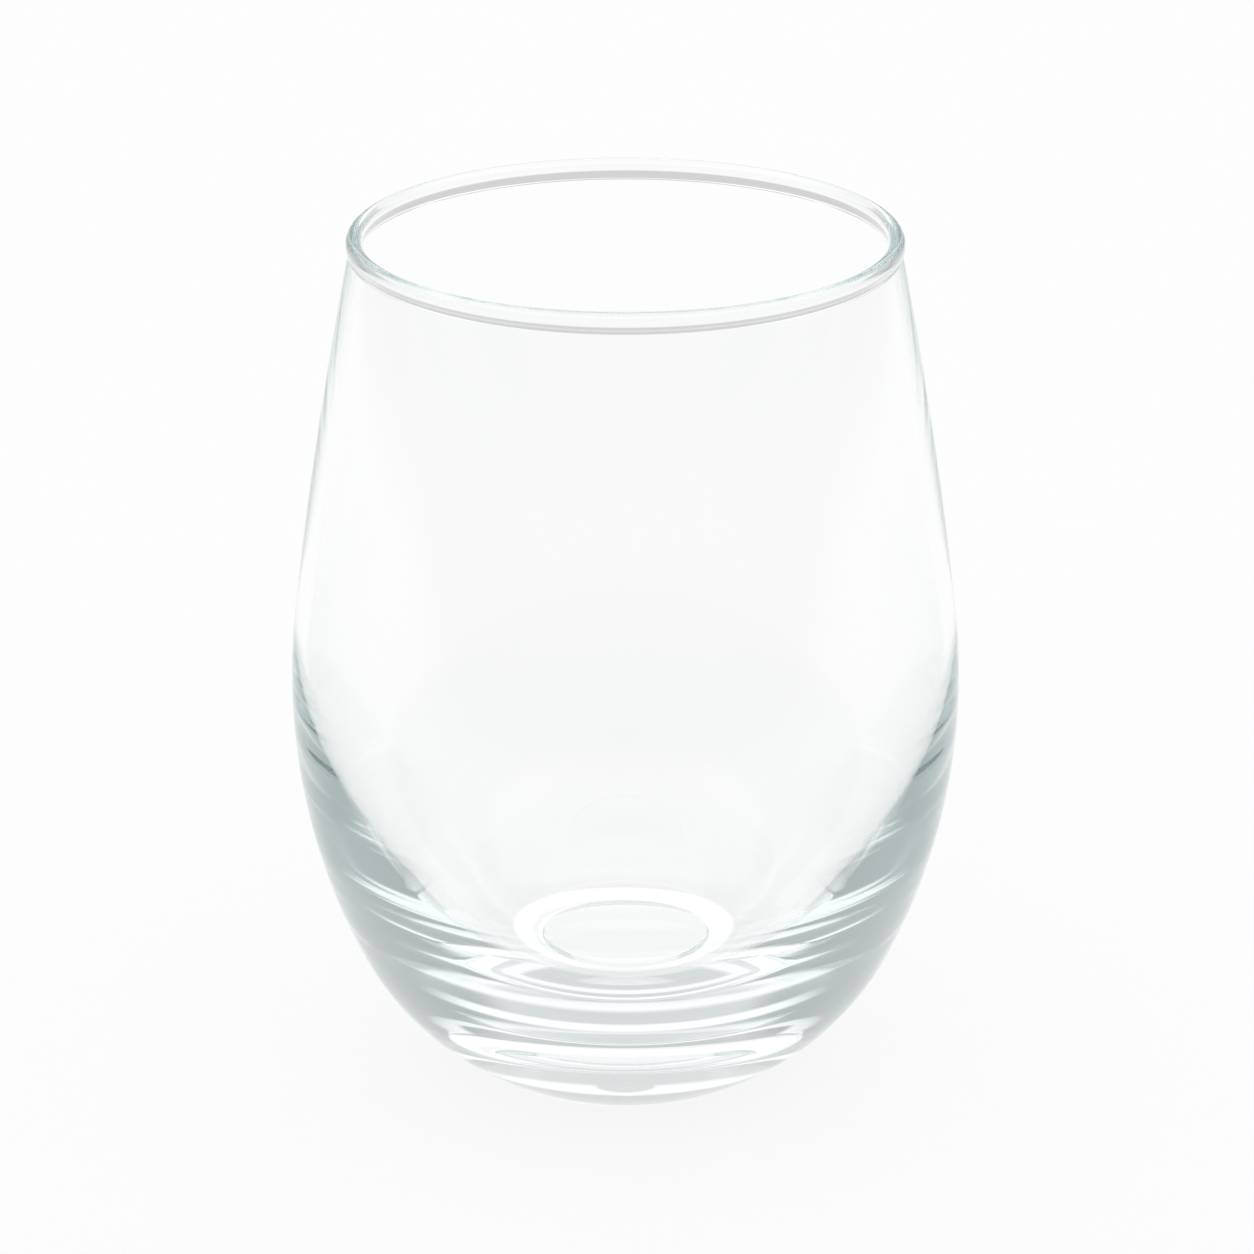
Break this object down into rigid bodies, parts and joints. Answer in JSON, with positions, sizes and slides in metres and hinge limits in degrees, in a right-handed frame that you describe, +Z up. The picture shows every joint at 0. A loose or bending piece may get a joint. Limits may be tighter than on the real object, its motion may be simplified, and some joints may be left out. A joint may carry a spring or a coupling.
{
  "type": "stemless wine glass",
  "caption": "Clear stemless wine glass: an egg-shaped thin-walled bowl with a rounded rim bead, on a heavy rounded base that stands by itself.",
  "frame": {"origin": "middle of the foot, on the table that the glass stands on", "axes": "+Z up along the glass's axis of turning; X and Y level"},
  "size_m": [0.0876, 0.0876, 0.1143],
  "materials": {
    "glass": "clear soda-lime glass, fire-polished, with a faint blue-green tint where it is thick"
  },
  "bodies": {
    "root": {"rim_bead": "glass", "bowl_wall": "glass", "base": "glass"}
  },
  "joints": []
}
